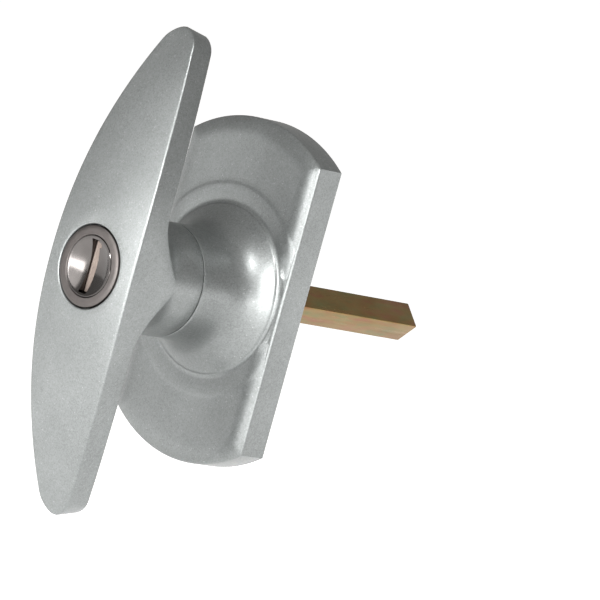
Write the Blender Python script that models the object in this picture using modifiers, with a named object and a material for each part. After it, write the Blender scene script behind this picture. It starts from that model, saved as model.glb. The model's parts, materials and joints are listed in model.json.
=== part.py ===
"""Locking T-handle for a garage, van or shutter door: a bowed T-shaped grip turns in a fixed rose and
drives a square spindle, and a key cylinder in the grip throws a bolt that locks the grip to the rose.

Frame: the origin is on the spindle's axis at the rose's back face, where it meets the door. +Y runs
into the door along the spindle, -Y towards the user, +Z up along the grip, +X to the user's right.
At rest the grip is upright and unlocked, and the wafers stand as the right key holds them.
Sizes are in millimetres in the named values, and MM turns them into metres.
"""

import math

import bmesh
import bpy
from mathutils import Matrix, Vector

MM = 0.001
GAP = 0.3  # clearance between pieces that touch or slide

# Driving dimensions
SPINDLE_SIDE = 7.0
SPINDLE_END_Y = 62.3
SPINDLE_CHAMFER = 1.3
LOCK_FACE_R = 9.9
FACE_Y = -51.5  # front edge of the grip at mid-length
SEAM_Y = -27.0  # where the turning neck meets the fixed collar
NECK_R = 14.0
ROSE_HALF_WIDTH = 22.6
ROSE_CORNER_Z = 35.9
ROSE_APEX_Z = 43.0

# Grip
GRIP_HALF_LENGTH = 60.6
GRIP_HALF_WIDTH = 14.6
GRIP_BOW = 9.7  # how far the tips sit behind the middle
GRIP_DEPTH = 6.8
GRIP_CROWN = 0.8
GRIP_TAPER_POWER = 2.2
GRIP_TIP_SHARE = 0.868  # the lens shape is cut at this share, then rounded
GRIP_TIP_ROUND = 4.0
GRIP_TILT_SHARE = 0.6  # how far the tip walls lean with the bow
EDGE_ROUND = 1.0
NECK_FLARE = 10.5

# Journal, the part of the grip's neck that turns inside the rose
JOURNAL_R = 9.6
JOURNAL_END_Y = -1.0
JOURNAL_FLAT_X = 8.0
SOCKET_END_Y = -10.0
ROLL_PIN_Y = -7.6
CLIP_GROOVE = (-2.9, -1.7)
CLIP_GROOVE_R = 8.6

# Rose
ROSE_CENTRE_Y = -8.7
ROSE_ROLL_WIDTH = 4.6  # how far in from the outline the front starts to roll off
ROSE_ROLL_DROP = 1.15
ROSE_EDGE_ROUND = 0.5
COLLAR_BASE_R = 21.8
COLLAR_BASE_Y = -9.0
COLLAR_SHOULDER = 1.6  # radius of the roll at the collar's base
COLLAR_SHOULDER_TILT = 25  # degrees from the axis, at the base
COLLAR_OPENING = 58  # degrees from the axis, the flare's steepest tilt
STEP_R = 26.3
STEP_HEIGHT = 0.2
BORE_R = 12.2
LAND_R = 9.95  # the shoulder between the two bushes, which the lock bolt enters
LAND_Y = (-16.9, -11.1)
NOTCH_R = 13.3
HUB_R = 17.0
RIM_WIDTH = 2.6
POCKET_Y = -3.9
RECESS_R = 12.8
RECESS_Y = -5.7
STOP_R = 15.2
BOSS_Z = 29.0
BOSS_R = 5.5
BOSS_HOLE_R = 2.1

# Lock
BARREL_R = 8.2
BARREL_BACK_Y = -28.5
FLANGE_FACE_Y = -52.0
FLANGE_BACK_Y = -49.0
PLUG_HEAD_R = 7.4
PLUG_HEAD_BACK_Y = -46.8
PLUG_R = 6.2
PLUG_BACK_Y = -30.3
TAIL_R = 4.8
TAIL_END_Y = -17.6
DRIVER_R = 0.9
DRIVER_THROW = 2.6
DRIVER_END_Y = -14.5
DISH_R = 6.95
DISH_DEPTH = 1.5
KEYWAY_HALF_WIDTH = 1.2
KEYWAY_HALF_HEIGHT = 4.4
SLOT_HALF_HEIGHT = 6.6
CHAMBER_HALF_HEIGHT = 6.5
FLAP_HALF_HEIGHT = 6.2
FLAP_Y = -49.6
BOLT_Y = (-16.5, -11.5)
BOLT_HALF_WIDTH = 4.6
BOLT_Z = (-5.5, 9.2)
WAFER_YS = [-44.2 + 3.0 * i for i in range(5)]
WAFER_OFFSETS = [0.3, -0.3, 0.6, 0.0, -0.6]  # each wafer's window matches one step of the key
SPRING_X = 4.25

ZINC_GREY = (0.47, 0.50, 0.49)
BARE_ZINC = (0.40, 0.37, 0.36)
BRASS = (0.62, 0.47, 0.27)
STEEL = (0.55, 0.55, 0.56)
PASSIVATED = (0.55, 0.42, 0.22)
NYLON = (0.83, 0.82, 0.78)


def clear_scene():
    for obj in list(bpy.data.objects):
        bpy.data.objects.remove(obj)


def material(name, colour, roughness, metallic):
    made = bpy.data.materials.new(name)
    made.use_nodes = True
    shader = made.node_tree.nodes["Principled BSDF"]
    shader.inputs["Base Color"].default_value = (*colour, 1)
    shader.inputs["Roughness"].default_value = roughness
    shader.inputs["Metallic"].default_value = metallic
    return made


def collection(name):
    made = bpy.data.collections.new(name)
    bpy.context.scene.collection.children.link(made)
    return made


def link(name, mesh, where):
    obj = bpy.data.objects.new(name, mesh)
    where.objects.link(obj)
    return obj


def mesh_from(name, bm):
    """A mesh in metres, with its faces turned outwards, from a bmesh in millimetres."""
    bmesh.ops.recalc_face_normals(bm, faces=bm.faces)
    bmesh.ops.scale(bm, vec=(MM, MM, MM), verts=bm.verts)
    mesh = bpy.data.meshes.new(name)
    bm.to_mesh(mesh)
    bm.free()
    return mesh


def evaluated_mesh(obj):
    graph = bpy.context.evaluated_depsgraph_get()
    return bpy.data.meshes.new_from_object(obj.evaluated_get(graph))


def box(name, low, high, where):
    """A box between two corners, from the cube primitive."""
    bm = bmesh.new()
    bmesh.ops.create_cube(bm, size=1)
    size = Vector(high) - Vector(low)
    middle = (Vector(high) + Vector(low)) / 2
    bmesh.ops.transform(bm, matrix=Matrix.LocRotScale(middle, None, size), verts=bm.verts)
    return link(name, mesh_from(name, bm), where)


def rod(name, radius, start, end, where, sides=24):
    """A round bar between two points, from the cylinder primitive."""
    bm = bmesh.new()
    run = Vector(end) - Vector(start)
    turn = run.to_track_quat("Z", "Y")
    place = Matrix.LocRotScale((Vector(start) + Vector(end)) / 2, turn, None)
    bmesh.ops.create_cone(
        bm, cap_ends=True, segments=sides, radius1=radius, radius2=radius, depth=run.length, matrix=place
    )
    return link(name, mesh_from(name, bm), where)


def turned(name, profile, where, steps=64, closed=False):
    """A turned shape about the spindle's axis: profile is (radius, y), and a ring's profile is closed."""
    bm = bmesh.new()
    points = [bm.verts.new((r * MM, y * MM, 0)) for r, y in profile]
    pairs = list(zip(points, points[1:] + points[:1]))
    for a, b in pairs if closed else pairs[:-1]:
        bm.edges.new((a, b))
    mesh = bpy.data.meshes.new(name)
    bm.to_mesh(mesh)
    bm.free()
    guide = link(name, mesh, where)
    screw = guide.modifiers.new("Turn", "SCREW")
    screw.axis = "Y"
    screw.steps = screw.render_steps = steps
    screw.use_merge_vertices = True
    screw.merge_threshold = 0.00001
    solid = evaluated_mesh(guide)
    guide.modifiers.clear()
    bm = bmesh.new()
    bm.from_mesh(solid)
    bmesh.ops.recalc_face_normals(bm, faces=bm.faces)
    bm.to_mesh(solid)
    bm.free()
    guide.data = solid
    return guide


def lofted(name, loops, where, closed=False):
    """A skin over loops of equal length. It is capped at both ends, or closed on itself."""
    bm = bmesh.new()
    rings = [[bm.verts.new(point) for point in loop] for loop in loops]
    pairs = list(zip(rings, rings[1:]))
    if closed:
        pairs.append((rings[-1], rings[0]))
    for first, second in pairs:
        for i in range(len(first)):
            j = (i + 1) % len(first)
            bm.faces.new((first[i], first[j], second[j], second[i]))
    if not closed:
        bm.faces.new(rings[0])
        bm.faces.new(rings[-1])
    return link(name, mesh_from(name, bm), where)


def prism(name, outline, low_y, high_y, where):
    """A flat outline of (x, z) points, given a thickness along Y."""
    loops = [[(x, y, z) for x, z in outline] for y in (low_y, high_y)]
    return lofted(name, loops, where)


def combine(obj, other, operation):
    """A live Boolean. The other object becomes a hidden helper."""
    change = obj.modifiers.new(operation.title(), "BOOLEAN")
    change.operation = operation
    change.object = other
    other.hide_render = True
    other.display_type = "WIRE"
    return obj


def settle(obj):
    """Applies the object's Booleans to its mesh, so that it can itself be a cutter."""
    solid = evaluated_mesh(obj)
    obj.modifiers.clear()
    obj.data = solid
    return obj


def finish(obj, look):
    obj.data.materials.clear()
    obj.data.materials.append(look)
    obj.data.shade_smooth()
    obj.data.set_sharp_from_angle(angle=math.radians(35))
    return obj


def arc(centre, radius, start, end, count):
    """Points on an arc in a plane, angles in degrees."""
    angles = [math.radians(start + (end - start) * i / count) for i in range(count + 1)]
    return [(centre[0] + radius * math.cos(a), centre[1] + radius * math.sin(a)) for a in angles]


def circle(radius, count):
    return arc((0, 0), radius, 0, 360, count)[:-1]


# ---------------------------------------------------------------- grip and neck


def grip_half_width(z):
    """Half the grip's width at a height: a lens with rounded tips."""
    share = abs(z) / GRIP_HALF_LENGTH
    lens = 1 - (share * GRIP_TIP_SHARE) ** GRIP_TAPER_POWER
    from_tip = min(1, (GRIP_HALF_LENGTH - abs(z)) / GRIP_TIP_ROUND)
    return GRIP_HALF_WIDTH * lens * math.sqrt(max(0, 1 - (1 - from_tip) ** 2))


def grip_stations(count):
    """Heights along the grip, closer together towards the rounded tips."""
    last = math.radians(88.6)
    return [GRIP_HALF_LENGTH * math.sin(last * (2 * i / count - 1)) for i in range(count + 1)]


def grip_section(z):
    """One cross-section of the grip: crowned front, rounded edges, straight sides and a flat back."""
    half = grip_half_width(z)
    edge = min(EDGE_ROUND, half * 0.45)
    share = z / GRIP_HALF_LENGTH
    front = FACE_Y + GRIP_BOW * share**2
    lean = math.atan(2 * GRIP_BOW * share / GRIP_HALF_LENGTH) * GRIP_TILT_SHARE
    crown = GRIP_CROWN * (half / GRIP_HALF_WIDTH) ** 2
    flat = half - edge
    across = [i / 4 for i in range(-4, 5)]
    outline = [(flat * t, -crown * (1 - t * t)) for t in across]
    outline += [
        (flat + edge * math.sin(a), edge * (1 - math.cos(a))) for a in (math.radians(d) for d in (30, 60, 90))
    ]
    outline += [
        (flat + edge * math.cos(a), GRIP_DEPTH - edge * (1 - math.sin(a)))
        for a in (math.radians(d) for d in (0, 30, 60, 90))
    ]
    outline += [(flat * t, GRIP_DEPTH) for t in reversed(across[1:-1])]
    outline += [
        (-flat - edge * math.sin(a), GRIP_DEPTH - edge * (1 - math.cos(a)))
        for a in (math.radians(d) for d in (0, 30, 60, 90))
    ]
    outline += [
        (-flat - edge * math.cos(a), edge * (1 - math.sin(a))) for a in (math.radians(d) for d in (0, 30, 60))
    ]
    return [(x, front + depth * math.cos(lean), z - depth * math.sin(lean)) for x, depth in outline]


def neck_profile():
    """Half-section of the neck: a journal, the round neck and its flare into the grip's back."""
    back = FACE_Y + GRIP_DEPTH
    centre = (NECK_R + NECK_FLARE, back + NECK_FLARE)
    flare = arc(centre, NECK_FLARE, 180, 262, 8)
    return [
        (0, JOURNAL_END_Y),
        (JOURNAL_R - 0.4, JOURNAL_END_Y),
        (JOURNAL_R, JOURNAL_END_Y - 0.4),
        (JOURNAL_R, SEAM_Y),
        (NECK_R - 0.25, SEAM_Y),
        (NECK_R, SEAM_Y - 0.25),
        *flare,
        (flare[-1][0], back - 3),
        (0, back - 3),
    ]


def make_handle_body(parts, helpers, look):
    sections = [grip_section(z) for z in grip_stations(40)]
    grip = lofted("handle_body", sections, parts)
    neck = turned("neck", neck_profile(), helpers, steps=60)
    heights = [GRIP_HALF_LENGTH * 0.6 * (i / 16 - 1) for i in range(33)]
    sides = [(grip_half_width(z) - 0.05, z) for z in heights]
    outline = sides + [(-x, z) for x, z in reversed(sides)]
    trim = prism("neck_trim", outline, -52, 0, helpers)
    combine(neck, trim, "INTERSECT")
    settle(neck)
    combine(grip, neck, "UNION")
    bore = [
        (0, -56),
        (LOCK_FACE_R + GAP, -56),
        (LOCK_FACE_R + GAP, FLANGE_BACK_Y + GAP),
        (BARREL_R + GAP, FLANGE_BACK_Y + GAP),
        (BARREL_R + GAP, BARREL_BACK_Y + GAP),
        (TAIL_R + 1.7, BARREL_BACK_Y + GAP),
        (TAIL_R + 1.7, SEAM_Y + 0.4),
        (TAIL_R + 0.4, SEAM_Y + 0.4),
        (TAIL_R + 0.4, BOLT_Y[0] - GAP + 0.1),
        (0, BOLT_Y[0] - GAP + 0.1),
    ]
    combine(grip, turned("lock_bore", bore, helpers, steps=56), "DIFFERENCE")
    slot_low = (-BOLT_HALF_WIDTH - GAP, BOLT_Y[0] - GAP, BOLT_Z[0] - GAP)
    slot_high = (BOLT_HALF_WIDTH + GAP, BOLT_Y[1] + GAP, 12)
    combine(grip, box("bolt_slot", slot_low, slot_high, helpers), "DIFFERENCE")
    combine(grip, spindle_bar("spindle_socket", SOCKET_END_Y, 2, GAP, helpers), "DIFFERENCE")
    pin_hole = rod("spindle_pin_hole", 1.55, (-11, ROLL_PIN_Y, 0), (11, ROLL_PIN_Y, 0), helpers, 16)
    combine(grip, pin_hole, "DIFFERENCE")
    barrel_pin_hole = rod("barrel_pin_hole", 1.5, (-8.9, -38, -16), (-8.9, -38, 7.5), helpers, 16)
    combine(grip, barrel_pin_hole, "DIFFERENCE")
    groove = [(CLIP_GROOVE_R, y) for y in CLIP_GROOVE] + [(11, y) for y in reversed(CLIP_GROOVE)]
    combine(grip, turned("clip_groove", groove, helpers, steps=56, closed=True), "DIFFERENCE")
    for side in (-1, 1):
        low, high = sorted((side * JOURNAL_FLAT_X, side * 11))
        flat = box(f"journal_flat_{side}", (low, -4.6, -11), (high, 1, 11), helpers)
        combine(grip, flat, "DIFFERENCE")
    return finish(grip, look)


# ---------------------------------------------------------------- spindle


def spindle_bar(name, start_y, end_y, grow, where, chamfer=0.0):
    """A square bar standing on its corner, with its ends chamfered."""
    half = SPINDLE_SIDE / 2 + grow
    edge = 0.35
    square = []
    for quarter in range(4):
        turn = math.radians(45 + 90 * quarter)
        for x, z in ((half, half - edge), (half - edge, half)):
            square.append(
                (x * math.cos(turn) - z * math.sin(turn), x * math.sin(turn) + z * math.cos(turn))
            )
    stages = [(start_y, 1)]
    if chamfer:
        share = 1 - chamfer / half
        stages = [(start_y, share), (start_y + chamfer, 1), (end_y - chamfer, 1), (end_y, share)]
    else:
        stages.append((end_y, 1))
    loops = [[(x * share, y, z * share) for x, z in square] for y, share in stages]
    return lofted(name, loops, where)


def make_spindle(parts, helpers, look):
    bar = spindle_bar("spindle", SOCKET_END_Y + GAP, SPINDLE_END_Y, 0, parts, chamfer=SPINDLE_CHAMFER)
    hole = rod("spindle_hole", 1.55, (-8, ROLL_PIN_Y, 0), (8, ROLL_PIN_Y, 0), helpers, 16)
    combine(bar, hole, "DIFFERENCE")
    return finish(bar, look)


def make_roll_pin(name, start, end, look, parts, helpers):
    """A rolled spring pin: a thin tube."""
    pin = rod(name, 1.2, start, end, parts, 20)
    run = (Vector(end) - Vector(start)).normalized()
    bore = rod(name + "_bore", 0.6, Vector(start) - run, Vector(end) + run, helpers, 12)
    combine(pin, bore, "DIFFERENCE")
    return finish(pin, look)


# ---------------------------------------------------------------- rose


def arc_outline(angle):
    """Distance from the axis to the rose's two arcs, carried on past the flats."""
    rise = ROSE_APEX_Z - ROSE_CORNER_Z
    radius = (ROSE_HALF_WIDTH**2 + rise**2) / (2 * rise)
    centre = ROSE_APEX_Z - radius
    across, up = abs(math.cos(angle)), abs(math.sin(angle))
    return centre * up + math.sqrt(radius**2 - (centre * across) ** 2)


def rose_radius(angle):
    """Distance from the axis to the rose's outline: two flats joined by two arcs."""
    across = abs(math.cos(angle))
    reach = arc_outline(angle)
    return min(reach, ROSE_HALF_WIDTH / across) if across > 1e-9 else reach


def rose_angles(count):
    """Angles around the rose, with one exactly at each corner."""
    corner = math.atan2(ROSE_CORNER_Z, ROSE_HALF_WIDTH)
    stops = [-corner, corner, math.pi - corner, math.pi + corner, 2 * math.pi - corner]
    angles = []
    for start, end in zip(stops, stops[1:]):
        angles += [start + (end - start) * i / count for i in range(count)]
    return angles


def rose_front_y(radius, angle):
    """The rose's front face is level, and rolls off softly towards its outline."""
    from_edge = min(arc_outline(angle) - radius, ROSE_HALF_WIDTH - radius * abs(math.cos(angle)))
    roll = max(0, 1 - from_edge / ROSE_ROLL_WIDTH)
    return ROSE_CENTRE_Y + ROSE_ROLL_DROP * roll**2


def rose_loops():
    """Every loop of the rose, from the back rim round the outside to the collar, the bore and the pocket."""
    angles = rose_angles(18)

    def outline(inset, y):
        return [((rose_radius(a) - inset) * math.cos(a), y, (rose_radius(a) - inset) * math.sin(a)) for a in angles]

    def ring(radius, y):
        return [(radius * math.cos(a), y, radius * math.sin(a)) for a in angles]

    def rim(inset, drop):
        radii = [rose_radius(a) - inset for a in angles]
        return [(r * math.cos(a), rose_front_y(r, a) + drop, r * math.sin(a)) for r, a in zip(radii, angles)]

    def face(radius, lift, inset, share=1):
        """A loop on the front, kept inside the rounded rim, or part of the way there from the rim."""
        loop = []
        for a in angles:
            start = rose_radius(a) - ROSE_EDGE_ROUND
            r = start + (min(radius, rose_radius(a) - inset) - start) * share
            loop.append((r * math.cos(a), rose_front_y(r, a) - lift, r * math.sin(a)))
        return loop

    loops = [outline(RIM_WIDTH, 0), outline(0.35, 0), outline(0, -0.35)]
    loops += [rim(0, ROSE_EDGE_ROUND), rim(ROSE_EDGE_ROUND * 0.3, ROSE_EDGE_ROUND * 0.3), rim(ROSE_EDGE_ROUND, 0)]
    loops += [face(STEP_R + 0.5, 0, 0.7, share) for share in (0.15, 0.4, 0.7, 1)]
    loops.append(face(STEP_R, STEP_HEIGHT, 0.76))
    loops.append(face(STEP_R - 1.6, STEP_HEIGHT, 0.82))
    loops.append(face(COLLAR_BASE_R + 0.3, 0, 0.88))
    reach = [min(COLLAR_BASE_R, rose_radius(a) - 0.98) for a in angles]
    loops.append([(r * math.cos(a), COLLAR_BASE_Y, r * math.sin(a)) for r, a in zip(reach, angles)])
    loops += [ring(r, y) for r, y in collar_profile(3, 9)]
    loops += [ring(BORE_R, SEAM_Y + GAP), ring(BORE_R, LAND_Y[0]), ring(LAND_R, LAND_Y[0])]
    loops += [ring(LAND_R, LAND_Y[1]), ring(BORE_R, LAND_Y[1])]
    loops += [ring(BORE_R, RECESS_Y), ring(RECESS_R, RECESS_Y)]
    loops += [ring(RECESS_R, 0), ring(HUB_R, 0), ring(HUB_R, POCKET_Y), outline(RIM_WIDTH, POCKET_Y)]
    return loops


def collar_profile(shoulder_steps, flare_steps):
    """(radius, y) from the collar's base to the seam: a rolled shoulder, then a flare that ends straight."""
    first, last = math.radians(COLLAR_SHOULDER_TILT), math.radians(COLLAR_OPENING)
    profile = []
    for i in range(1, shoulder_steps + 1):
        tilt = first + (last - first) * i / shoulder_steps
        r = COLLAR_BASE_R - 0.7 - COLLAR_SHOULDER * (math.cos(first) - math.cos(tilt))
        profile.append((r, COLLAR_BASE_Y - COLLAR_SHOULDER * (math.sin(tilt) - math.sin(first))))
    start_r, start_y = profile[-1]
    end_y = SEAM_Y + GAP + 0.25
    rise, run = start_r - NECK_R, start_y - end_y
    power = math.tan(last) * run / rise
    for i in range(1, flare_steps + 1):
        share = 1 - i / flare_steps
        profile.append((NECK_R + rise * share**power, end_y + run * share))
    profile.append((NECK_R - 0.25, SEAM_Y + GAP))
    return profile


def sector(inner, outer, start, end, count=16):
    """A flat ring sector as an (x, z) outline, angles in degrees from +X towards +Z."""
    return arc((0, 0), outer, start, end, count) + arc((0, 0), inner, end, start, count)


def make_rose(parts, helpers, look):
    rose = lofted("rose", rose_loops(), parts, closed=True)
    notch_y = (BOLT_Y[0] - 2 * GAP, BOLT_Y[1] + 2 * GAP)
    half = BOLT_HALF_WIDTH + GAP
    up = box("notch_up", (-half, notch_y[0], 7), (half, notch_y[1], NOTCH_R), helpers)
    right = box("notch_right", (7, notch_y[0], -half), (NOTCH_R, notch_y[1], half), helpers)
    combine(rose, up, "DIFFERENCE")
    combine(rose, right, "DIFFERENCE")
    stop = prism("stop_travel", sector(11, STOP_R, 168, 282), RECESS_Y, 1, helpers)
    combine(rose, stop, "DIFFERENCE")
    for side in (-1, 1):
        z = side * BOSS_Z
        boss = rod(f"boss_{side}", BOSS_R, (0, POCKET_Y - 0.8, z), (0, 0, z), helpers, 32)
        combine(rose, boss, "UNION")
        low, high = sorted((side * (HUB_R - 1.0), side * (BOSS_Z - BOSS_R + 0.8)))
        rib = box(f"rib_{side}", (-1, POCKET_Y - 0.5, low), (1, -0.6, high), helpers)
        combine(rose, rib, "UNION")
        low, high = sorted((side * (BOSS_Z + BOSS_R - 0.8), side * (ROSE_APEX_Z - RIM_WIDTH + 0.8)))
        outer_rib = box(f"outer_rib_{side}", (-1, POCKET_Y - 0.5, low), (1, -0.6, high), helpers)
        combine(rose, outer_rib, "UNION")
        hole = rod(f"boss_hole_{side}", BOSS_HOLE_R, (0, -5.6, z), (0, 1, z), helpers, 20)
        combine(rose, hole, "DIFFERENCE")
    return finish(rose, look)


def make_bush(name, start_y, end_y, look, parts):
    inner, outer = JOURNAL_R + GAP, BORE_R - GAP
    profile = [(inner, start_y), (outer, start_y), (outer, end_y), (inner, end_y)]
    return finish(turned(name, profile, parts, steps=48, closed=True), look)


def make_wave_washer(look, parts):
    """A thin ring pressed into three waves."""
    inner, outer, middle, half, wave = 10.3, 12.4, -5.05, 0.16, 0.15
    loops = []
    for i in range(60):
        a = 2 * math.pi * i / 60
        y = middle + wave * math.cos(3 * a)
        corners = ((inner, y - half), (outer, y - half), (outer, y + half), (inner, y + half))
        loops.append([(r * math.cos(a), level, r * math.sin(a)) for r, level in corners])
    return finish(lofted("wave_washer", loops, parts, closed=True), look)


def make_stop_washer(look, parts, helpers):
    """A washer that turns with the journal. Its tab meets the ends of the rose's stop recess."""
    washer = prism("stop_washer", circle(12.4, 56), -4.4, -3.2, parts)
    tab = prism("stop_tab", sector(11, STOP_R - GAP, 260, 280, 6), -4.4, -3.2, helpers)
    combine(washer, tab, "UNION")
    hole = turned("washer_hole", [(0, -6), (JOURNAL_R + GAP, -6), (JOURNAL_R + GAP, 0), (0, 0)], helpers, 56)
    flats = box("washer_flats", (-JOURNAL_FLAT_X - GAP, -7, -12), (JOURNAL_FLAT_X + GAP, 1, 12), helpers)
    combine(hole, flats, "INTERSECT")
    settle(hole)
    combine(washer, hole, "DIFFERENCE")
    return finish(washer, look)


def make_circlip(look, parts):
    """An open retaining ring in the journal's groove, with two eyelets at its ends."""
    outline = sector(CLIP_GROOVE_R + GAP, 11.3, 115, 425, 40)
    ring = prism("circlip", outline, -2.6, -2.0, parts)
    return finish(ring, look)


# ---------------------------------------------------------------- lock


def make_barrel(parts, helpers, look):
    bore_r = PLUG_R + GAP
    profile = [
        (PLUG_HEAD_R + GAP, FLANGE_FACE_Y),
        (LOCK_FACE_R - 0.4, FLANGE_FACE_Y),
        (LOCK_FACE_R, FLANGE_FACE_Y + 0.4),
        (LOCK_FACE_R, FLANGE_BACK_Y),
        (BARREL_R, FLANGE_BACK_Y),
        (BARREL_R, BARREL_BACK_Y),
        (TAIL_R + GAP, BARREL_BACK_Y),
        (TAIL_R + GAP, PLUG_BACK_Y + GAP),
        (bore_r, PLUG_BACK_Y + GAP),
        (bore_r, PLUG_HEAD_BACK_Y + GAP),
        (PLUG_HEAD_R + GAP, PLUG_HEAD_BACK_Y + GAP),
    ]
    barrel = turned("lock_barrel", profile, parts, steps=48, closed=True)
    start, end = PLUG_HEAD_BACK_Y + 1.2, PLUG_BACK_Y - 0.2
    combine(barrel, box("wafer_groove_up", (-3.1, start, 5), (3.1, end, 7.3), helpers), "DIFFERENCE")
    combine(barrel, box("wafer_groove_side", (5, start, -3.1), (7.3, end, 3.1), helpers), "DIFFERENCE")
    pin = rod("barrel_pin_groove", 1.5, (-8.9, -38, -9), (-8.9, -38, 9), helpers, 16)
    combine(barrel, pin, "DIFFERENCE")
    return finish(barrel, look)


def make_plug(parts, helpers, look):
    """The turning core: a dished face, a keyway, wafer slots and a tail with an off-centre driver."""
    dish = [(DISH_R * s, FLANGE_FACE_Y + DISH_DEPTH * (1 - s * s)) for s in (i / 8 for i in range(9))]
    profile = [
        *dish,
        (PLUG_HEAD_R, FLANGE_FACE_Y),
        (PLUG_HEAD_R, PLUG_HEAD_BACK_Y),
        (PLUG_R, PLUG_HEAD_BACK_Y),
        (PLUG_R, PLUG_BACK_Y),
        (TAIL_R, PLUG_BACK_Y),
        (TAIL_R, BARREL_BACK_Y + 0.1),
        (TAIL_R - 0.8, BARREL_BACK_Y + 0.1),
        (TAIL_R - 0.8, SEAM_Y - 0.2),
        (TAIL_R, SEAM_Y - 0.2),
        (TAIL_R, TAIL_END_Y),
        (0, TAIL_END_Y),
    ]
    plug = turned("lock_plug", profile, parts, steps=48)
    offset = -DRIVER_THROW * math.cos(math.radians(45))
    driver = rod("driver", DRIVER_R, (offset, TAIL_END_Y - 1, offset), (offset, DRIVER_END_Y, offset), helpers, 16)
    combine(plug, driver, "UNION")
    mouth = box("key_slot", (-1.3, -54, -SLOT_HALF_HEIGHT), (1.3, FLAP_Y + 0.3, SLOT_HALF_HEIGHT), helpers)
    combine(plug, mouth, "DIFFERENCE")
    low = (-1.9, FLAP_Y - 0.6, -CHAMBER_HALF_HEIGHT)
    high = (1.5, FLAP_Y + 2.4, CHAMBER_HALF_HEIGHT)
    chamber = box("shutter_chamber", low, high, helpers)
    combine(plug, chamber, "DIFFERENCE")
    low = (-KEYWAY_HALF_WIDTH, -47.5, -KEYWAY_HALF_HEIGHT)
    high = (KEYWAY_HALF_WIDTH, PLUG_BACK_Y - 0.4, KEYWAY_HALF_HEIGHT)
    combine(plug, box("keyway", low, high, helpers), "DIFFERENCE")
    for number, y in enumerate(WAFER_YS, 1):
        slot = box(f"wafer_slot_{number}", (-3.1, y - 0.8, -7), (3.1, y + 0.8, 7), helpers)
        combine(plug, slot, "DIFFERENCE")
        ear_slot = box(f"ear_slot_{number}", (2.5, y - 0.8, -0.4), (5.3, y + 0.8, 7), helpers)
        combine(plug, ear_slot, "DIFFERENCE")
        pocket = box(f"spring_pocket_{number}", (3.3, y - 0.95, -2.7), (5.2, y + 0.95, 0.5), helpers)
        combine(plug, pocket, "DIFFERENCE")
    return finish(plug, look)


def make_wafer(number, y, offset, look, parts, helpers):
    """A wafer tumbler: a plate with a key window and an ear for its spring."""
    wafer = box(f"wafer_{number}", (-2.8, y - 0.5, -5.3), (2.8, y + 0.5, 5.3), parts)
    ear = box(f"wafer_ear_{number}", (2.2, y - 0.5, 1.3), (5.0, y + 0.5, 2.3), helpers)
    combine(wafer, ear, "UNION")
    window = box(f"wafer_window_{number}", (-1.4, y - 1, offset - 3.8), (1.4, y + 1, offset + 3.8), helpers)
    combine(wafer, window, "DIFFERENCE")
    return finish(wafer, look)


def make_wafer_spring(number, y, look, parts):
    """A coil spring between the plug's pocket and the wafer's ear."""
    bottom, top, turns, per_turn, coil_r, wire_r = -2.3, 0.9, 3, 9, 0.6, 0.13
    curve = bpy.data.curves.new(f"wafer_spring_{number}", "CURVE")
    curve.dimensions = "3D"
    curve.bevel_depth = wire_r * MM
    curve.bevel_resolution = 1
    curve.use_fill_caps = True
    spline = curve.splines.new("POLY")
    count = turns * per_turn + 1
    spline.points.add(count - 1)
    for i in range(count):
        a = 2 * math.pi * i / per_turn
        z = bottom + (top - bottom) * i / (count - 1)
        place = (SPRING_X + coil_r * math.cos(a), y + coil_r * math.sin(a), z)
        spline.points[i].co = (*(v * MM for v in place), 1)
    curve.materials.append(look)
    return link(curve.name, curve, parts)


def make_plug_clip(look, parts):
    """An open ring in the tail's groove, which keeps the plug in its barrel."""
    outline = sector(TAIL_R - 0.5, 6.1, 120, 420, 30)
    return finish(prism("plug_clip", outline, BARREL_BACK_Y + 0.35, SEAM_Y - 0.45, parts), look)


def make_shutter(look, parts, helpers):
    """A dust flap behind the key slot. It swings inwards on a rod along its left edge."""
    low = (-1.1, FLAP_Y - 0.25, -FLAP_HALF_HEIGHT)
    high = (1.05, FLAP_Y + 0.25, FLAP_HALF_HEIGHT)
    flap = box("dust_shutter", low, high, parts)
    end = FLAP_HALF_HEIGHT + 0.05
    hinge = rod("shutter_rod", 0.4, (-1.15, FLAP_Y, -end), (-1.15, FLAP_Y, end), helpers, 12)
    combine(flap, hinge, "UNION")
    return finish(flap, look)


def make_lock_bolt(look, parts, helpers):
    """A bolt that slides across the journal, moved by the plug's driver in its cross groove."""
    bolt = box(
        "lock_bolt", (-BOLT_HALF_WIDTH, BOLT_Y[0], BOLT_Z[0]), (BOLT_HALF_WIDTH, BOLT_Y[1], BOLT_Z[1]), parts
    )
    centre = -DRIVER_THROW * math.sin(math.radians(45))
    half = DRIVER_R + GAP
    groove = box("driver_groove", (-6, -18, centre - half), (6, DRIVER_END_Y + GAP, centre + half), helpers)
    combine(bolt, groove, "DIFFERENCE")
    nose = prism("bolt_nose", circle(9.3, 48), -18, -10, helpers)
    combine(bolt, nose, "INTERSECT")
    return finish(bolt, look)


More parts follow.
